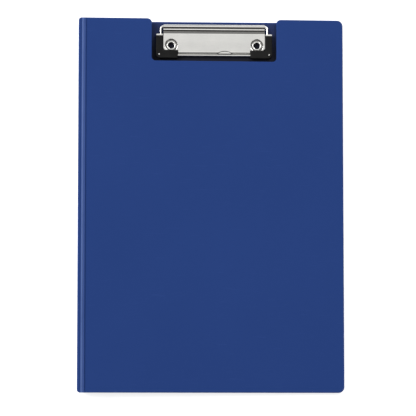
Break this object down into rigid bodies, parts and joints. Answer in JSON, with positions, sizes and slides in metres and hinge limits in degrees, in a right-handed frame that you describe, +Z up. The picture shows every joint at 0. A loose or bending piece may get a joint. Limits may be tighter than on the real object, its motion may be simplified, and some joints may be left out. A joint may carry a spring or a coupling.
{
  "type": "clipboard",
  "caption": "Fold-over A4 clipboard with a blue cover, an open notch over the clip, and a steel wire clip with black corner grips.",
  "frame": {"origin": "centre of the closed folder's outline, on the surface it lies on", "axes": "+X towards the free edge away from the spine, +Y towards the clip, +Z up out of the front cover"},
  "size_m": [0.227, 0.32, 0.0126],
  "materials": {
    "blue_foil": "smooth satin blue",
    "dark_foil": "dark fine-grained",
    "greyboard": "raw grey board",
    "clear_foil": "clear film",
    "plated_steel": "bright nickel plate",
    "black_rubber": "satin black"
  },
  "bodies": {
    "rear_cover": {"back_skin": "blue_foil", "back_board": "greyboard", "back_lining": "dark_foil", "clip_plate": "plated_steel", "hollow_rivet_left": "plated_steel", "hollow_rivet_right": "plated_steel", "rivet_washer_left": "plated_steel", "rivet_washer_right": "plated_steel"},
    "spine": {"spine_skin": "blue_foil", "spine_board": "greyboard", "spine_lining": "dark_foil"},
    "front_cover": {"front_skin": "blue_foil", "front_board": "greyboard", "front_lining": "dark_foil", "inner_pocket": "clear_foil"},
    "bow": {"wire_bow": "plated_steel", "corner_grip_left": "black_rubber", "corner_grip_right": "black_rubber", "grip_collar_left": "plated_steel", "grip_collar_right": "plated_steel", "grip_pin_left": "plated_steel", "grip_pin_right": "plated_steel"}
  },
  "joints": [
    {"name": "rear_crease", "type": "hinge", "parent": "rear_cover", "child": "spine", "pos_m": [-0.1135, 0, 0], "axis": [0, -1, 0], "range_deg": [0, 180]},
    {"name": "front_crease", "type": "hinge", "parent": "spine", "child": "front_cover", "pos_m": [-0.1135, 0, 0.0124], "axis": [0, -1, 0], "range_deg": [0, 180]},
    {"name": "bow_hinge", "type": "hinge", "parent": "rear_cover", "child": "bow", "pos_m": [0.00265, 0.1538, 0.00515], "axis": [-1, 0, 0], "range_deg": [0, 110], "stiffness_Nm_per_rad": 0.1, "springref_deg": -45.84}
  ]
}
